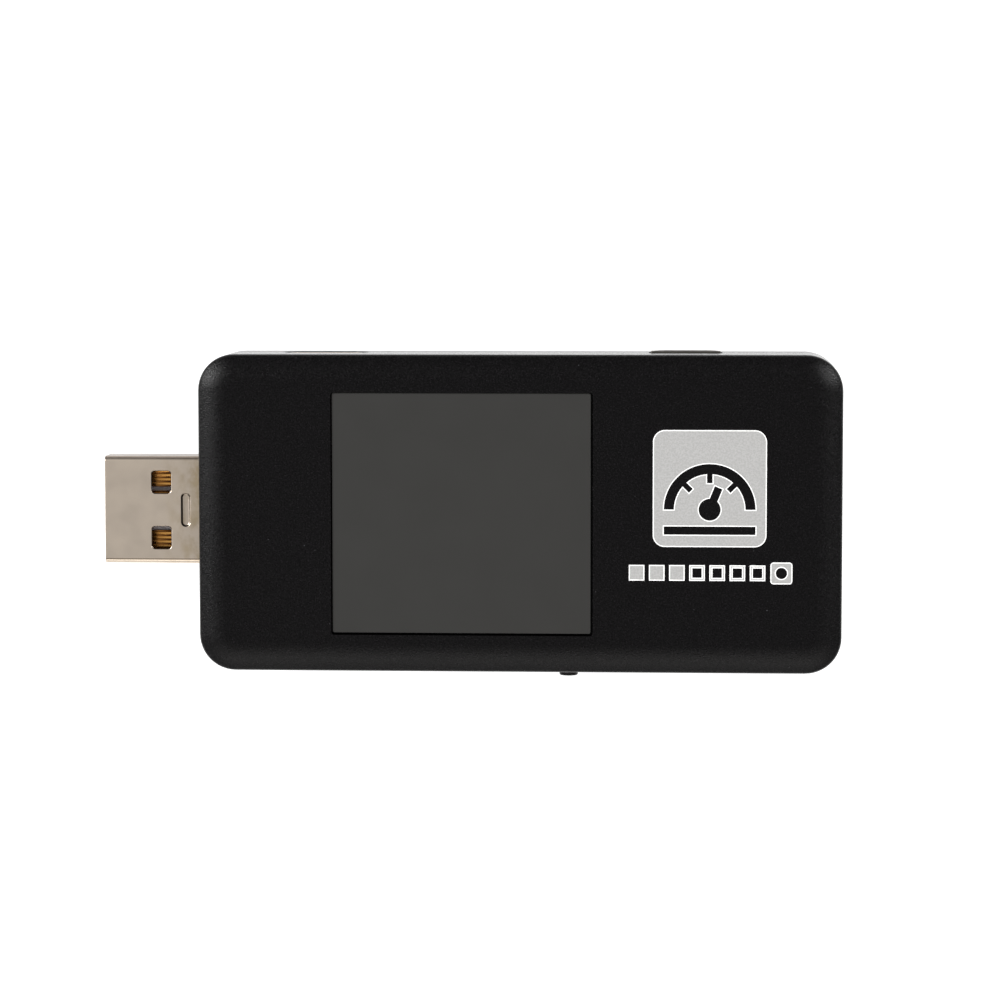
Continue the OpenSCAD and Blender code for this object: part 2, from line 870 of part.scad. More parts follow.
module socket_c_tongue() {
    block_l = 2;
    tongue_front = 0.9;
    color("#17171a") at_socket_c() difference() {
        union() {
            translate([-usb_c_l + block_l, 0, 0]) extrude_back(block_l + 0.2)
                usb_c_outline(usb_c_sheet + 0.04);
            translate([-tongue_front, 0, usb_c_h / 2]) extrude_back(usb_c_l - block_l - tongue_front + hair)
                square([usb_c_tongue_w, usb_c_tongue_t], center = true);
        }
        usb_c_contact_set();
    }
}

module socket_c_contacts() {
    color("#d9a441") at_socket_c() usb_c_contact_set();
}

// --------------------------------------------------------------------------------- micro-USB socket

// Opening of the micro-USB socket: straight above, with both lower corners cut off
module micro_outline(inset) {
    half = micro_w / 2 - inset;
    low = inset;
    high = micro_h - inset;
    cut = micro_chamfer - inset * 0.4;
    polygon([
        [-half + cut, low], [half - cut, low], [half, low + cut],
        [half, high], [-half, high], [-half, low + cut]
    ]);
}

module micro_b_shell() {
    tab_x = -micro_l + 0.5;
    tab_t = 0.24;
    color("#c0bcb4") at_micro_b() {
        difference() {
            union() {
                extrude_back(micro_l) micro_outline(0);
                extrude_back(micro_flare_l) micro_outline(-micro_flare);
            }
            translate([1, 0, 0]) extrude_back(micro_l + 2) micro_outline(micro_sheet);
        }
        for (side = [-1, 1])
            translate([tab_x, side * (micro_w - tab_t) / 2 - tab_t / 2, 0]) cube([1.4, tab_t, 1.6]);
    }
}

module micro_contact_set() {
    w = 0.37;
    t = 0.12;
    front = 0.9;
    tail = 0.8;
    for (i = [-2 : 2])
        bent_contact(i * micro_pitch, micro_tongue_z - t, w, t, front, micro_l + 0.2, tail);
}

module micro_b_tongue() {
    block_l = 1.3;
    tongue_w = 3.7;
    tongue_t = 0.6;
    tongue_front = 0.7;
    color("#17171a") at_micro_b() difference() {
        union() {
            translate([-micro_l + block_l, 0, 0]) extrude_back(block_l + 0.1)
                micro_outline(micro_sheet + 0.04);
            translate([-tongue_front, 0, 0]) extrude_back(micro_l - block_l - tongue_front + hair)
                translate([0, micro_tongue_z + tongue_t / 2]) square([tongue_w, tongue_t], center = true);
        }
        micro_contact_set();
    }
}

module micro_b_contacts() {
    color("#d9a441") at_micro_b() micro_contact_set();
}

// ------------------------------------------------------------------------------------- main board

module main_board() {
    gap = 0.15;
    board_l = cavity_l - 2 * board_gap;
    board_w = cavity_w - 2 * board_gap;
    color("#0f5a34") difference() {
        translate([0, 0, board_z]) plate(board_l, board_w, cavity_r - board_gap, board_t);
        at_screws() cylinder(r = screw_r + 0.22, h = board_top + 1);
        at_plug() tab_slots(plug_w, plug_tab_x, gap);
        at_socket_a() for (x = socket_tab_xs)
            tab_slots(socket_w, x, gap);
        at_socket_c() at_usb_c_tabs(gap, 3) cube([usb_c_tab_l + 2 * gap, usb_c_tab_t + 2 * gap, 4]);
    }
}

// Slots in the board for the pair of tabs of a USB-A shell
module tab_slots(w, x, gap) {
    for (y = [-w / 2, w / 2 - plug_sheet])
        translate([x - gap, y - gap, -3]) cube([tab_l + 2 * gap, plug_sheet + 2 * gap, 4]);
}

// Flat chip with gull-wing leads on the sides along X, or on all four sides
module leaded_chip(l, w, h, leads, pitch, lead_w, reach, four_sides = false) {
    stand = 0.1;
    lead_t = 0.12;
    lead_z = h * 0.45;
    translate([-l / 2, -w / 2, stand]) cube([l, w, h - stand]);
    for (turn = four_sides ? [0, 90, 180, 270] : [90, 270])
        rotate([0, 0, turn]) for (i = [0 : leads - 1]) {
            span = turn % 180 == 0 ? l : w;
            y = (i - (leads - 1) / 2) * pitch - lead_w / 2;
            translate([span / 2 - hair, y, lead_z]) cube([reach * 0.4, lead_w, lead_t]);
            translate([span / 2 + reach * 0.4 - lead_t, y, 0]) cube([lead_t, lead_w, lead_z + lead_t]);
            translate([span / 2 + reach * 0.4 - lead_t, y, 0]) cube([reach * 0.6 + lead_t, lead_w, lead_t]);
        }
}

// Chip part with a metal cap at each end
module end_capped(l, w, h, cap) {
    step = 0.03;
    for (x = [-l / 2, l / 2 - cap])
        translate([x, -w / 2, 0]) cube([cap, w, h]);
    translate([-l / 2 + cap - hair, -w / 2 + step, 0])
        cube([l - 2 * cap + 2 * hair, w - 2 * step, h - step]);
}

module microcontroller() {
    color("#151515") translate([-6, 2, board_top])
        leaded_chip(l = 7, w = 7, h = 1.4, leads = 12, pitch = 0.5, lead_w = 0.22, reach = 1,
                    four_sides = true);
}

module meter_chip() {
    color("#151515") translate([14.5, -4, board_top])
        leaded_chip(l = 3, w = 3, h = 0.95, leads = 5, pitch = 0.5, lead_w = 0.22, reach = 0.95);
}

module port_chip() {
    color("#151515") translate([-12.5, 10.5, board_top])
        leaded_chip(l = 5, w = 4, h = 1.1, leads = 7, pitch = 0.65, lead_w = 0.25, reach = 1);
}

module memory_chip() {
    color("#151515") translate([-17.5, 0, board_top])
        leaded_chip(l = 5.3, w = 5.2, h = 1.8, leads = 4, pitch = 1.27, lead_w = 0.4, reach = 1.2);
}

module voltage_regulator() {
    color("#151515") translate([-18, -10, board_top])
        leaded_chip(l = 2.9, w = 1.6, h = 1.1, leads = 3, pitch = 0.95, lead_w = 0.4, reach = 0.6);
}

module power_inductor() {
    color("#4a4a4c") translate([-11.5, -10, board_top]) {
        plate(4, 4, 0.6, 2);
        translate([0, 0, 2 - hair]) plate(3.2, 3.2, 0.4, 0.1);
    }
}

module current_shunt() {
    color("#2a2a2a") translate([15, 3.5, board_top]) rotate([0, 0, 90]) end_capped(6.3, 3.2, 0.6, 0.9);
}

module crystal() {
    color("silver") translate([-4, 10.5, board_top]) {
        plate(3.2, 2.5, 0.3, 0.6);
        translate([0, 0, 0.6 - hair]) plate(2.8, 2.1, 0.3, 0.2);
    }
}

module chip_capacitors() {
    places = [[-12.8, 4, 90], [-12.8, 0, 90], [0.8, 4, 90], [0.8, 0, 90], [-6, -4.2, 0], [-23, -10, 90],
              [-7.4, -10, 90], [-7.4, -12.6, 0], [11.5, -9, 90], [14.5, -9, 0], [1, 10.5, 90], [24, -10, 0]];
    color("#b89a6a") for (p = places)
        translate([p.x, p.y, board_top]) rotate([0, 0, p.z]) end_capped(1.6, 0.8, 0.8, 0.3);
}

module chip_resistors() {
    places = [[-9, -5.6, 0], [-3, -5.6, 0], [-1.2, 8.6, 0], [-7.6, 8.2, 0], [11.5, -6, 90], [18, -10, 0],
              [18, -12, 0], [-23, 4.5, 90], [-23, 1.5, 90], [11.5, 9, 0], [11.5, 11, 0], [24, 10, 0]];
    color("#1e1e1e") for (p = places)
        translate([p.x, p.y, board_top]) rotate([0, 0, p.z]) end_capped(1.6, 0.8, 0.45, 0.25);
}

top_cover();
bottom_cover();
case_screws();
screen_lens();
lens_tape();
front_print();
menu_button();
main_board();
lcd_tray();
lcd_backlight();
lcd_rear_glass();
lcd_front_glass();
lcd_polarizer();
lcd_tape();
lcd_flex();
switch_base();
switch_dome();
switch_plunger();
switch_cover();
switch_terminals();
plug_shell();
plug_tongue();
plug_contacts();
socket_a_shell();
socket_a_tongue();
socket_a_contacts();
socket_c_shell();
socket_c_tongue();
socket_c_contacts();
micro_b_shell();
micro_b_tongue();
micro_b_contacts();
microcontroller();
meter_chip();
port_chip();
memory_chip();
voltage_regulator();
power_inductor();
current_shunt();
crystal();
chip_capacitors();
chip_resistors();
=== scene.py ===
"""Looks of the USB power meter: fine meshes, procedural materials, studio light and camera.

Everything is in metres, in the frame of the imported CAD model: +X towards the USB-A socket, +Y towards
the side with the two small sockets, +Z up through the screen, origin under the middle of the case.
"""

import json
from math import radians

import bmesh
import bpy
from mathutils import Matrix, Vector

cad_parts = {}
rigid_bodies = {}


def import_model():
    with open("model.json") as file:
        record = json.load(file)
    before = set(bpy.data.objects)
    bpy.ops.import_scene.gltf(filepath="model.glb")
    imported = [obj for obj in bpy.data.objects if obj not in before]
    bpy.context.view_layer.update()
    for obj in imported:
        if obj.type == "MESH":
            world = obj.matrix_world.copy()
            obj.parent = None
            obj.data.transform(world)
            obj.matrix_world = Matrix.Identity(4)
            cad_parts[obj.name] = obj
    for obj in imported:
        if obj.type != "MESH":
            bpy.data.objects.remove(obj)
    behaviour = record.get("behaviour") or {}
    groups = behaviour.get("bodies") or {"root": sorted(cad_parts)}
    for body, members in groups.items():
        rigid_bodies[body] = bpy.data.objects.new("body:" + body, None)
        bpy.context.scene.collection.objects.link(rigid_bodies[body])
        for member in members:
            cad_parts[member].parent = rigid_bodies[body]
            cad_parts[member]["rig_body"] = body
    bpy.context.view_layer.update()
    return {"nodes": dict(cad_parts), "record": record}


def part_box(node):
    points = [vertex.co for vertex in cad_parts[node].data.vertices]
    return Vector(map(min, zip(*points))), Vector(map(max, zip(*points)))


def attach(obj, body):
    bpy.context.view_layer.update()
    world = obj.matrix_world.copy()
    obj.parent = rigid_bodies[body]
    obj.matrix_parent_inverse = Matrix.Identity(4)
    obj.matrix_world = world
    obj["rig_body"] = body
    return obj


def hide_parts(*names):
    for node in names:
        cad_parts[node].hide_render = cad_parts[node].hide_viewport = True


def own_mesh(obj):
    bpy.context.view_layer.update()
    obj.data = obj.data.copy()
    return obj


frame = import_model()
MM = 0.001


# ------------------------------------------------------------------------------------------ shaders

class Shader:
    """A Principled material with short calls for the textures that feed it.

    Texture coordinates are the object's own, in millimetres, so a scale is in cycles per millimetre.
    """

    def __init__(self, name, color, roughness, metallic=0.0, specular=0.5):
        self.material = bpy.data.materials.new(name)
        self.material.use_nodes = True
        self.tree = self.material.node_tree
        self.shader = self.tree.nodes["Principled BSDF"]
        self.set("Base Color", (*color, 1.0))
        self.set("Roughness", roughness)
        self.set("Metallic", metallic)
        self.set("Specular IOR Level", specular)
        self.last_normal = None
        self.points = self.stretched((1.0, 1.0, 1.0))

    def set(self, socket, value):
        """Constant value of a socket of the shader."""
        self.shader.inputs[socket].default_value = value

    def node(self, kind, **values):
        """A new node with those properties."""
        made = self.tree.nodes.new(kind)
        for key, value in values.items():
            setattr(made, key, value)
        return made

    def link(self, output, target):
        """Feeds an input from an output."""
        self.tree.links.new(output, target)

    def stretched(self, stretch):
        """The object's coordinates in millimetres, times one factor for each axis."""
        coordinates = self.node("ShaderNodeTexCoord")
        mapping = self.node("ShaderNodeMapping")
        mapping.inputs["Scale"].default_value = tuple(s / MM for s in stretch)
        self.link(coordinates.outputs["Object"], mapping.inputs["Vector"])
        return mapping.outputs["Vector"]

    def noise(self, scale, detail=2.0, roughness=0.5, stretch=None):
        """Noise with that many cycles per millimetre, from 0 to 1 about a mean of one half."""
        made = self.node("ShaderNodeTexNoise")
        made.inputs["Scale"].default_value = scale
        made.inputs["Detail"].default_value = detail
        made.inputs["Roughness"].default_value = roughness
        self.link(self.stretched(stretch) if stretch else self.points, made.inputs["Vector"])
        return made.outputs["Fac"]

    def cells(self, scale):
        """Distance to the nearest of the points scattered at that many per millimetre."""
        made = self.node("ShaderNodeTexVoronoi", feature="F1")
        made.inputs["Scale"].default_value = scale
        self.link(self.points, made.inputs["Vector"])
        return made.outputs["Distance"]

    def remap(self, value, low, high, to_low=0.0, to_high=1.0):
        """value from low..high to to_low..to_high, held at the ends."""
        made = self.node("ShaderNodeMapRange")
        made.inputs["From Min"].default_value = low
        made.inputs["From Max"].default_value = high
        made.inputs["To Min"].default_value = to_low
        made.inputs["To Max"].default_value = to_high
        self.link(value, made.inputs["Value"])
        return made.outputs["Result"]

    def tint(self, factor, color):
        """Blends color over what feeds the base colour by factor."""
        mix = self.node("ShaderNodeMix", data_type="RGBA")
        base = self.shader.inputs["Base Color"]
        if base.links:
            self.link(base.links[0].from_socket, mix.inputs[6])
        else:
            mix.inputs[6].default_value = base.default_value
        mix.inputs[7].default_value = (*color, 1.0)
        self.link(factor, mix.inputs[0])
        self.link(mix.outputs[2], base)

    def along(self, axis):
        """Place along X, Y or Z in millimetres."""
        return axis_of(self, self.points, axis)

    def facing(self, axis):
        """How far the surface faces that axis, from -1 to 1."""
        return axis_of(self, self.node("ShaderNodeNewGeometry").outputs["Normal"], axis)

    def absolute(self, value):
        """Value without its sign."""
        made = self.node("ShaderNodeMath", operation="ABSOLUTE")
        self.link(value, made.inputs[0])
        return made.outputs[0]

    def rough(self, value, low, high, to_low, to_high):
        """Roughness follows value."""
        self.link(self.remap(value, low, high, to_low, to_high), self.shader.inputs["Roughness"])

    def bump(self, height, depth_mm, strength=1.0):
        """Adds height as relief of that depth."""
        made = self.node("ShaderNodeBump")
        made.inputs["Strength"].default_value = strength
        made.inputs["Distance"].default_value = depth_mm * MM
        self.link(height, made.inputs["Height"])
        if self.last_normal:
            self.link(self.last_normal, made.inputs["Normal"])
        self.last_normal = made.outputs["Normal"]
        self.link(self.last_normal, self.shader.inputs["Normal"])


def axis_of(shader, vector, axis):
    """One coordinate of a vector."""
    parts = shader.node("ShaderNodeSeparateXYZ")
    shader.link(vector, parts.inputs[0])
    return parts.outputs[axis]


def product(shader, first, second):
    """Product of two values."""
    made = shader.node("ShaderNodeMath", operation="MULTIPLY")
    shader.link(first, made.inputs[0])
    shader.link(second, made.inputs[1])
    return made.outputs[0]


def dust(shader, per_mm, radius, color, strength):
    """Sparse specks: round spots of that radius, in cells, about scattered points."""
    spots = shader.remap(shader.cells(per_mm), radius, radius * 0.5, 0.0, strength)
    patches = shader.remap(shader.noise(0.35, 1.0), 0.55, 0.75, 0.0, 1.0)
    shader.tint(product(shader, spots, patches), color)


def case_plastic(name, color, roughness):
    """Black moulded plastic with a fine spark-eroded grain, smoother on upright walls."""
    s = Shader(name, color, roughness, specular=0.11)
    grain = s.noise(6.5, 3.0, 0.7)
    s.tint(s.remap(grain, 0.52, 0.72), tuple(12.0 * c for c in color))
    uneven = s.remap(s.noise(5.0, 1.0), 0.3, 0.7, roughness - 0.07, roughness + 0.07)
    wall_share = s.remap(s.absolute(s.facing("Z")), 0.1, 0.5, 0.6, 1.0)
    s.link(product(s, uneven, wall_share), s.shader.inputs["Roughness"])
    s.bump(s.cells(7.0), 0.02, 1.0)
    s.bump(grain, 0.02, 1.0)
    s.bump(s.noise(0.12, 1.0), 0.02, 0.25)
    dust(s, 0.9, 0.06, (0.16, 0.16, 0.17), 0.5)
    return s.material


def metal(name, color, roughness, stain=None, stain_share=0.0):
    """Plated sheet metal with faint rolling lines and cloudy patches."""
    s = Shader(name, color, roughness, metallic=1.0)
    rolling_lines = s.noise(1.0, 3.0, 0.55, stretch=(0.6, 6.0, 6.0))
    clouds = s.noise(0.45, 3.0, 0.55)
    s.rough(clouds, 0.3, 0.7, roughness - 0.015, roughness + 0.065)
    s.bump(rolling_lines, 0.004, 0.35)
    s.bump(s.noise(3.5, 2.0), 0.003, 0.3)
    if stain:
        s.tint(s.remap(clouds, 0.5, 0.78, 0.0, stain_share), stain)
    return s.material


def plug_nickel():
    """Nickel of the plug: painted shade on its +Y side and on its -Y bend; stained where it meets the
    case.

    Distances along X are from the tip. The steep walls of the holes and the groove get painted shade, the
    dark edges that a flat light leaves on them.
    """
    tip, far = (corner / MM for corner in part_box("plug_shell"))
    inside_y = far.y - 1.0
    s = Shader("plug_nickel", NICKEL, 0.3, metallic=1.0)
    clouds = s.noise(0.45, 3.0, 0.55)
    smears = s.noise(0.8, 3.0, 0.55, stretch=(1.1, 0.7, 1.0))
    s.rough(clouds, 0.3, 0.7, 0.285, 0.335)
    s.bump(s.noise(1.0, 1.0, 0.5, stretch=(0.5, 4.0, 4.0)), 0.002, 0.25)
    s.tint(s.remap(clouds, 0.5, 0.78, 0.0, 0.2), (0.56, 0.48, 0.385))
    near_case = s.remap(s.along("X"), tip.x + 6.2, tip.x + 10.4)
    s.tint(product(s, near_case, s.remap(smears, 0.42, 0.66)), (0.48, 0.385, 0.26))
    sideways = s.facing("Y")
    # Painted shade: faces turned towards +Y are darkened brown-grey.
    s.tint(s.remap(sideways, 0.15, 0.6, 0.0, 0.82), (0.17, 0.14, 0.12))
    # Painted shade: a dark band on the -Y bend, where the surface turns a little towards -Y.
    painted_shade_band = product(s, s.remap(sideways, -0.04, -0.12), s.remap(sideways, -0.42, -0.3))
    s.tint(painted_shade_band, (0.16, 0.13, 0.10))
    # Painted shade on steep faces behind the tip and away from the sides: the walls of the holes and the
    # groove.
    steep = s.remap(s.facing("Z"), 0.95, 0.75)
    inside = s.remap(s.absolute(s.along("Y")), inside_y, inside_y - 0.1)
    behind_tip = s.remap(s.along("X"), tip.x + 2.3, tip.x + 2.4)
    s.tint(product(s, steep, product(s, inside, behind_tip)), (0.05, 0.04, 0.035))
    return s.material


def contact_gold():
    """Gold of the plug's springs, with painted shade between the ribs and a painted shadow towards the
    tip.
    """
    rib_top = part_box("plug_contacts")[1].z / MM
    tip_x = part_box("plug_shell")[0].x / MM
    s = Shader("contact_gold", (0.88, 0.46, 0.125), 0.22, metallic=1.0)
    s.rough(s.noise(1.5, 2.0), 0.3, 0.7, 0.19, 0.265)
    s.bump(s.noise(1.0, 3.0, 0.55, stretch=(0.6, 7.0, 7.0)), 0.004, 0.35)
    # Painted shade in the valleys between the ribs.
    s.tint(s.remap(s.along("Z"), rib_top - 0.02, rib_top - 0.09), (0.13, 0.045, 0.012))
    # Painted shadow: the part of the springs towards the tip, shaded by the edge of the hole, is
    # darkened.
    s.tint(s.remap(s.along("X"), tip_x + 6.8, tip_x + 5.5, 0.0, 0.75), (0.58, 0.25, 0.06))
    return s.material


def moulded(name, color, roughness, grain=7.0):
    """Small moulded part: even colour with a soft grain and slight cloudiness."""
    s = Shader(name, color, roughness, specular=0.4)
    clouds = s.noise(0.8, 2.0)
    s.tint(s.remap(clouds, 0.4, 0.75, 0.0, 0.35), tuple(0.8 * c for c in color))
    s.rough(s.noise(2.5, 2.0), 0.3, 0.7, roughness - 0.06, roughness + 0.08)
    s.bump(s.noise(grain, 2.0), 0.006, 0.5)
    return s.material


def lens_film():
    """Anti-glare film over a display that is off: neutral dark grey with a very fine haze."""
    s = Shader("lens_film", (0.0182, 0.0178, 0.0167), 0.42, specular=0.25)
    s.bump(s.noise(14.0, 2.0), 0.0015, 0.5)
    s.rough(s.noise(0.25, 2.0), 0.3, 0.7, 0.41, 0.45)
    s.tint(s.remap(s.noise(0.07, 1.0), 0.3, 0.7, 0.0, 0.12), (0.021, 0.0202, 0.0189))
    dust(s, 0.45, 0.028, (0.02, 0.02, 0.02), 0.8)
    return s.material


def silver_ink(name, color):
    """Screen-printed silver grey: a fine fabric-like grain from the mesh and tiny pinholes."""
    s = Shader(name, color, 0.5, metallic=0.1, specular=0.4)
    weave = s.noise(5.0, 2.0, 0.6)
    s.tint(s.remap(weave, 0.4, 0.6), tuple(0.86 * c for c in color))
    s.rough(s.noise(2.0, 2.0), 0.3, 0.7, 0.42, 0.58)
    s.bump(weave, 0.01, 0.6)
    dust(s, 1.0, 0.03, (0.1, 0.1, 0.1), 0.6)
    return s.material


def solder_mask():
    """Green circuit board with faint copper tracks under the lacquer."""
    s = Shader("solder_mask", (0.012, 0.12, 0.05), 0.3, specular=0.5)
    tracks = s.node("ShaderNodeTexBrick", offset=0.5)
    tracks.inputs["Scale"].default_value = 1.0
    tracks.inputs["Mortar Size"].default_value = 0.12
    tracks.inputs["Brick Width"].default_value = 2.4
    tracks.inputs["Row Height"].default_value = 0.8
    s.link(s.points, tracks.inputs["Vector"])
    s.tint(s.remap(tracks.outputs["Fac"], 0.0, 1.0, 0.0, 0.4), (0.03, 0.24, 0.1))
    s.rough(s.noise(1.5, 2.0), 0.3, 0.7, 0.29, 0.4)
    s.bump(tracks.outputs["Fac"], 0.02, 0.4)
    return s.material


def film(name, color, roughness):
    """Thin polymer film or adhesive tape."""
    s = Shader(name, color, roughness, specular=0.5)
    s.rough(s.noise(1.2, 2.0), 0.3, 0.7, roughness, roughness + 0.08)
    s.bump(s.noise(2.0, 3.0), 0.006, 0.4)
    s.tint(s.remap(s.noise(0.5, 2.0), 0.45, 0.8, 0.0, 0.3), tuple(0.7 * c for c in color))
    return s.material


def panel_glass():
    """Display glass with faint rows of cells."""
    s = Shader("panel_glass", (0.12, 0.14, 0.14), 0.12, specular=0.6)
    rows = s.node("ShaderNodeTexWave", wave_profile="SIN", bands_direction="X")
    rows.inputs["Scale"].default_value = 1.6
    s.link(s.points, rows.inputs["Vector"])
    s.tint(s.remap(rows.outputs["Fac"], 0.0, 1.0, 0.0, 0.25), (0.08, 0.1, 0.1))
    s.rough(s.noise(1.0, 2.0), 0.3, 0.7, 0.08, 0.18)
    return s.material


def ceramic():
    """Fired ceramic chip bodies: slightly mottled tan."""
    s = Shader("ceramic", (0.42, 0.29, 0.15), 0.55, specular=0.4)
    s.tint(s.remap(s.noise(3.0, 3.0), 0.4, 0.7, 0.0, 0.5), (0.3, 0.2, 0.1))
    s.bump(s.noise(9.0, 2.0), 0.006, 0.5)
    s.rough(s.noise(4.0, 2.0), 0.3, 0.7, 0.48, 0.62)
    return s.material


NICKEL = (0.625, 0.536, 0.444)
MATERIALS = {
    "case_plastic": case_plastic("case_plastic", (0.0008, 0.0007, 0.0008), 0.3),
    "button_plastic": case_plastic("button_plastic", (0.0008, 0.0007, 0.0008), 0.3),
    "screw_steel": metal("screw_steel", (0.05, 0.05, 0.055), 0.38),
    "dark_lens": lens_film(),
    "black_tape": film("black_tape", (0.02, 0.02, 0.02), 0.6),
    "silver_ink": silver_ink("silver_ink", (0.312, 0.31, 0.305)),
    "board_green": solder_mask(),
    "sheet_steel": metal("sheet_steel", (0.55, 0.55, 0.55), 0.3),
    "white_plastic": moulded("white_plastic", (0.8, 0.8, 0.78), 0.45),
    "panel_glass": panel_glass(),
    "amber_film": film("amber_film", (0.42, 0.17, 0.02), 0.3),
    "black_nylon": moulded("black_nylon", (0.016, 0.016, 0.018), 0.5),
    "nickel": metal("nickel", NICKEL, 0.3, stain=(0.55, 0.46, 0.365), stain_share=0.3),
    "gold": metal("gold", (0.86, 0.46, 0.13), 0.2),
    "grey_insulator": moulded("grey_insulator", (0.52, 0.485, 0.495), 0.5),
    "chip_black": moulded("chip_black", (0.02, 0.02, 0.021), 0.55),
    "ferrite": moulded("ferrite", (0.07, 0.07, 0.075), 0.65, grain=12.0),
    "ceramic": ceramic(),
    "tin": metal("tin", (0.72, 0.72, 0.71), 0.35),
}


# ------------------------------------------------------------------------------------------- meshes

SMOOTH_ANGLE = radians(32.0)
SHARP_ANGLE = radians(28.0)
COPLANAR_ANGLE = radians(0.05)
JOIN_ANGLE = radians(0.4)
MERGE_MM = 0.0002
SLIVER_MM = 0.005


def finish_normals(piece):
    """Smooth shading that keeps flat faces flat and stops at edges sharper than SMOOTH_ANGLE."""
    mesh = piece.data
    mesh.polygons.foreach_set("use_smooth", [True] * len(mesh.polygons))
    mesh.set_sharp_from_angle(angle=SMOOTH_ANGLE)
    weighted = piece.modifiers.new("weighted_normals", "WEIGHTED_NORMAL")
    weighted.keep_sharp = True
    weighted.weight = 80
    weighted.thresh = 0.1 * MM * MM
    shaded = piece.evaluated_get(bpy.context.evaluated_depsgraph_get()).data
    normals = [corner.vector.copy() for corner in shaded.corner_normals]
    piece.modifiers.remove(weighted)
    sides = {}
    for face in mesh.polygons:
        for key in face.edge_keys:
            sides.setdefault(key, []).append(face)
    for faces in sides.values():
        if len(faces) == 2 and faces[0].normal.angle(faces[1].normal, 1.0) < COPLANAR_ANGLE:
            for face in faces:
                for corner in face.loop_indices:
                    normals[corner] = face.normal.copy()
    mesh.normals_split_custom_set(normals)


def bevel(shape, edges, width_mm, segments=2):
    """Rounds those edges of a bmesh."""
    bmesh.ops.bevel(
        shape, geom=edges, offset=width_mm * MM, offset_type="OFFSET", segments=segments,
        profile=0.5, affect="EDGES", clamp_overlap=False, loop_slide=False, miter_outer="ARC",
    )


def sliver(face):
    """Whether a face is too thin for its direction to be trusted."""
    return face.calc_area() < SLIVER_MM * MM * max(e.calc_length() for e in face.edges)


def sharp(edge):
    """Whether an edge lies between two sound faces that meet at more than SHARP_ANGLE."""
    sides = edge.link_faces
    return len(sides) == 2 and edge.calc_face_angle(0.0) > SHARP_ANGLE and not any(map(sliver, sides))


def join_flat(shape):
    """Joins faces that lie in one plane."""
    bmesh.ops.dissolve_limit(
        shape, angle_limit=JOIN_ANGLE, verts=shape.verts, edges=shape.edges, use_dissolve_boundaries=False
    )


def opened(node):
    """A bmesh of a CAD node with doubled vertices merged and flat faces joined."""
    shape = bmesh.new()
    shape.from_mesh(frame["nodes"][node].data)
    bmesh.ops.remove_doubles(shape, verts=shape.verts, dist=MERGE_MM * MM)
    join_flat(shape)
    return shape


def replaced(node, shape):
    """Shows that bmesh as a new piece in the place of a CAD node."""
    mesh = bpy.data.meshes.new(node + "_fine")
    shape.to_mesh(mesh)
    shape.free()
    piece = bpy.data.objects.new(node + "_fine", mesh)
    bpy.context.scene.collection.objects.link(piece)
    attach(piece, frame["nodes"][node]["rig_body"])
    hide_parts(node)
    return piece


def refined(node, edge_mm, special=()):
    """A finer copy of a CAD node with its sharp edges rounded, shown in its place.

    special is a list of (test, width, segments): edges whose middle, in mm, passes the test get that
    width instead of edge_mm.
    """
    plain = 1
    shape = opened(node)
    group = shape.edges.layers.int.new("group")
    for edge in filter(sharp, shape.edges):
        middle = (edge.verts[0].co + edge.verts[1].co) / 2 / MM
        edge[group] = plain
        for number, (test, _, _) in enumerate(special, plain + 1):
            if test(middle):
                edge[group] = number
    for number, (_, width, steps) in enumerate(special, plain + 1):
        bevel(shape, [e for e in shape.edges if e[group] == number], width, steps)
        for edge in shape.edges:
            if edge[group] == number:
                edge[group] = 0
    bevel(shape, [e for e in shape.edges if e[group] == plain], edge_mm)
    shape.edges.layers.int.remove(shape.edges.layers.int["group"])
    join_flat(shape)
    return replaced(node, shape)


def inked(node, rim_mm):
    """A copy of printed ink in which a thin rim round every upward face has the second material."""
    shape = opened(node)
    tops = [f for f in shape.faces if f.normal.z > 0.99]
    rims = bmesh.ops.inset_region(shape, faces=tops, thickness=rim_mm * MM, use_even_offset=True)
    for face in rims["faces"]:
        face.material_index = 1
    return replaced(node, shape)


SLOTS = {s["node"]: s["material_slot"] for s in frame["record"]["subparts"]}
# Radius, in mm, that each refined node's sharp edges get.
EDGES = {
    "top_cover": 0.10, "bottom_cover": 0.12, "case_screws": 0.08, "screen_lens": 0.02,
    "menu_button": 0.12, "plug_shell": 0.07, "plug_tongue": 0.06, "plug_contacts": 0.025,
    "socket_a_shell": 0.06, "socket_a_tongue": 0.08, "socket_a_contacts": 0.03,
    "socket_c_shell": 0.06, "socket_c_tongue": 0.05, "socket_c_contacts": 0.01,
    "micro_b_shell": 0.05, "micro_b_tongue": 0.05, "micro_b_contacts": 0.02,
}


def in_box(lowest, highest):
    """Test of a point, in mm, against a box."""
    return lambda p: all(a <= c <= b for a, c, b in zip(lowest, p, highest))


def plug_features():
    """Softer edges of the pressed groove and of the latch holes of the plug."""
    tip, far = (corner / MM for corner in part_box("plug_shell"))
    top = far.z
    groove_x, reach = tip.x + 9.05, 0.6
    groove_rim = in_box((groove_x - reach, -2, top - 0.05), (groove_x + reach, 2, top + 0.05))
    groove_floor = in_box((groove_x - reach, -2, top - 0.4), (groove_x + reach, 2, top - 0.32))
    hole_rims = in_box((tip.x + 5, -4.6, top - 0.05), (tip.x + 7.6, 4.6, top + 0.05))
    return [(groove_floor, 0.16, 4), (groove_rim, 0.13, 4), (hole_rims, 0.13, 4)]


def window_rim():
    """Crisper edges round the screen window."""
    low, high = (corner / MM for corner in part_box("screen_lens"))
    reach = Vector((0.6, 0.6, 0.0))
    lens_top = Vector((low.x, low.y, high.z - 0.1))
    return [(in_box(lens_top - reach, high + reach + Vector((0.0, 0.0, 0.3))), 0.03, 2)]


def rib_tops():
    """Rounder ribs on the plug's contacts."""
    low, high = (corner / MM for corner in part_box("plug_contacts"))
    return [(in_box((low.x, low.y, high.z - 0.01), (high.x, high.y, high.z + 0.01)), 0.055, 3)]
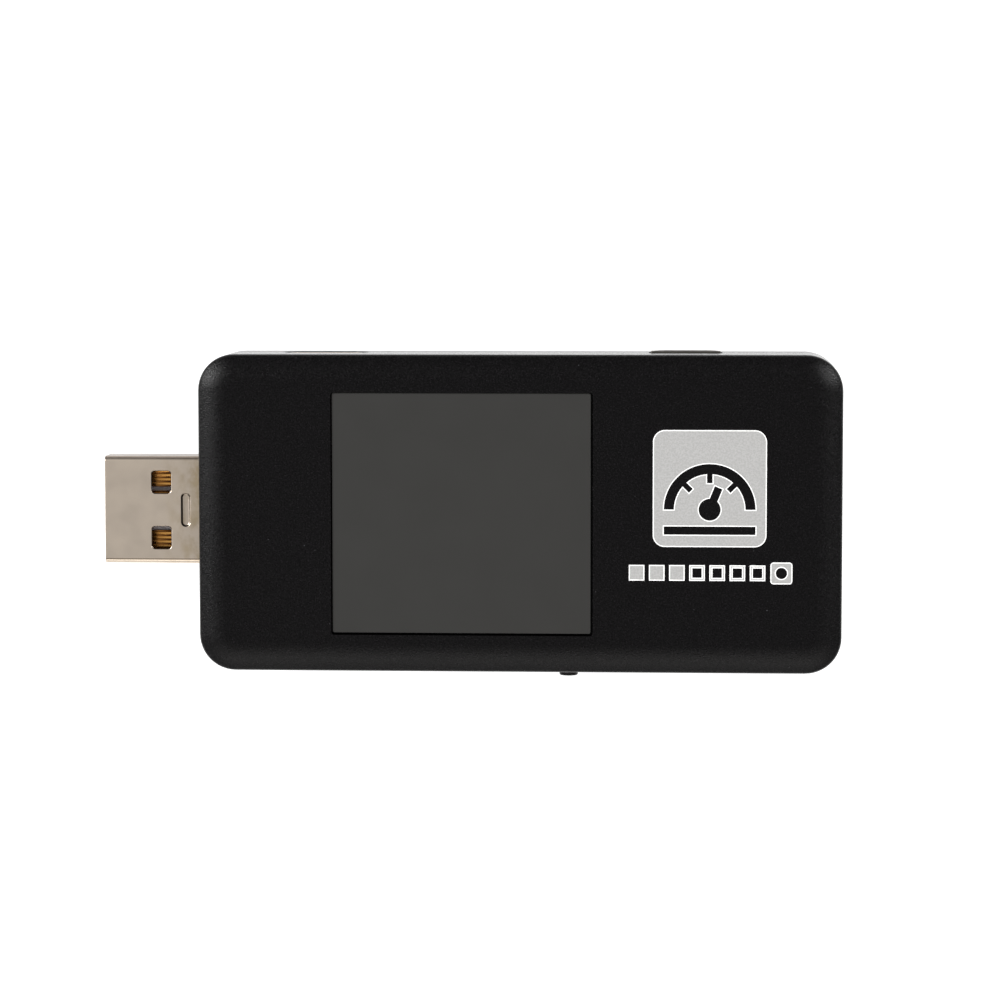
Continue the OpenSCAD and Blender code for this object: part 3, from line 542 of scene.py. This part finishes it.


# Nodes with some edges of another radius, and nodes with materials of their own, some of which carry
# painted shade or painted highlights.
SPECIAL = {"plug_shell": plug_features, "plug_contacts": rib_tops, "top_cover": window_rim}
FINISH_AND_PAINTED_LIGHT = {
    "plug_shell": [plug_nickel()],
    "plug_contacts": [contact_gold()],
    # Painted shade: the micro-B socket's shell is a darkened copy of the nickel, for the shade it sits
    # in.
    "micro_b_shell": [metal("painted_shade_nickel", (0.11, 0.10, 0.09), 0.35)],
    # Painted highlight: a light silver rim round the edges of the print.
    "front_print": [MATERIALS["silver_ink"], silver_ink("painted_highlight_rim", (0.8, 0.8, 0.79))],
}


def dress(piece, node):
    """Gives a piece the material of its node's slot, or its own materials, some with painted shade or
    painted highlights.
    """
    if len(piece.data.materials):
        piece.data.materials.clear()
    for material in FINISH_AND_PAINTED_LIGHT.get(node, [MATERIALS[SLOTS[node]]]):
        piece.data.materials.append(material)


def snap_dome(node):
    """The switch's dome, which flattens against the floor of its cup as the button goes in."""
    dome = replaced(node, opened(node))
    dress(dome, node)
    finish_normals(dome)
    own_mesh(dome)


for node, source in frame["nodes"].items():
    if node == "front_print":
        dress(inked(node, rim_mm=0.11), node)
    elif node in EDGES:
        fine = refined(node, EDGES[node], special=SPECIAL[node]() if node in SPECIAL else ())
        dress(fine, node)
        finish_normals(fine)
    elif node != "switch_dome":
        dress(source, node)
snap_dome("switch_dome")


# ------------------------------------------------------------------------------- stage, light, camera

def make_floor():
    """A wide white floor under the case."""
    half = 3.0
    mesh = bpy.data.meshes.new("floor")
    corners = [(-half, -half, 0.0), (half, -half, 0.0), (half, half, 0.0), (-half, half, 0.0)]
    mesh.from_pydata(corners, [], [(0, 1, 2, 3)])
    floor = bpy.data.objects.new("floor", mesh)
    bpy.context.scene.collection.objects.link(floor)
    s = Shader("floor_paper", (0.4, 0.4, 0.4), 0.8, specular=0.1)
    s.rough(s.noise(0.02, 2.0), 0.3, 0.7, 0.75, 0.85)
    s.set("Emission Color", (1.0, 1.0, 1.0, 1.0))
    s.set("Emission Strength", 0.82)
    mesh.materials.append(s.material)


def soft_light(name, place, size, power, color=(1.0, 1.0, 1.0)):
    """A rectangular soft box at place that faces the origin."""
    data = bpy.data.lights.new(name, "AREA")
    data.shape = "RECTANGLE"
    data.size, data.size_y = size
    data.energy = power
    data.color = color
    light = bpy.data.objects.new(name, data)
    bpy.context.scene.collection.objects.link(light)
    light.location = place
    light.rotation_mode = "QUATERNION"
    light.rotation_quaternion = light.location.to_track_quat("Z", "Y")


def make_world(horizon, overhead, bright):
    """A grey surround, darker at the horizon than overhead, with a bright band half way up on the
    side of the button.
    """
    world = bpy.data.worlds.new("studio")
    world.use_nodes = True
    tree = world.node_tree
    coordinates = tree.nodes.new("ShaderNodeTexCoord")
    split = tree.nodes.new("ShaderNodeSeparateXYZ")
    tree.links.new(coordinates.outputs["Generated"], split.inputs[0])

    def ramp(levels):
        """Grey by height: a list of (sine of the elevation, level)."""
        made = tree.nodes.new("ShaderNodeValToRGB")
        made.color_ramp.interpolation = "EASE"
        elements = made.color_ramp.elements
        while len(elements) < len(levels):
            elements.new(0.5)
        for element, (place, level) in zip(elements, levels):
            element.position = place
            element.color = (level, level, level, 1.0)
        tree.links.new(split.outputs["Z"], made.inputs["Fac"])
        return made.outputs["Color"]

    side = tree.nodes.new("ShaderNodeVectorMath")
    side.operation = "DOT_PRODUCT"
    side.inputs[1].default_value = (-0.1, -0.75, 0.0)
    tree.links.new(coordinates.outputs["Generated"], side.inputs[0])
    share = tree.nodes.new("ShaderNodeMath")
    share.operation = "ADD"
    share.use_clamp = True
    share.inputs[1].default_value = 0.2
    tree.links.new(side.outputs["Value"], share.inputs[0])
    band = tree.nodes.new("ShaderNodeVectorMath")
    band.operation = "SCALE"
    tree.links.new(ramp([(0.1, 0.0), (0.4, bright), (0.75, bright), (0.93, 0.0)]), band.inputs[0])
    tree.links.new(share.outputs[0], band.inputs["Scale"])
    total = tree.nodes.new("ShaderNodeVectorMath")
    total.operation = "ADD"
    tree.links.new(ramp([(0.1, horizon), (0.9, overhead)]), total.inputs[0])
    tree.links.new(band.outputs[0], total.inputs[1])
    tree.links.new(total.outputs[0], tree.nodes["Background"].inputs["Color"])
    bpy.context.scene.world = world


def make_camera():
    """Almost straight above, a little towards the far right corner."""
    data = bpy.data.cameras.new("camera")
    data.lens = 123.3
    data.sensor_width = 36.0
    data.clip_start, data.clip_end = 0.01, 20.0
    camera = bpy.data.objects.new("camera", data)
    bpy.context.scene.collection.objects.link(camera)
    camera.location = (19.57 * MM, 32.96 * MM, 386.5 * MM)
    camera.rotation_euler = (radians(-4.796), radians(3.308), radians(-0.042))
    bpy.context.scene.camera = camera


make_floor()
make_world(horizon=0.22, overhead=0.49, bright=1.2)
soft_light("left_box", (-0.55, 0.23, 0.38), (0.24, 0.24), 6.5)
soft_light("right_box", (0.50, 0.31, 0.41), (0.16, 0.16), 4.0)
soft_light("front_box", (0.0, -0.5, 0.52), (0.9, 0.25), 1.8, color=(1.0, 0.97, 0.93))
make_camera()
bpy.context.scene.view_settings.view_transform = "Standard"
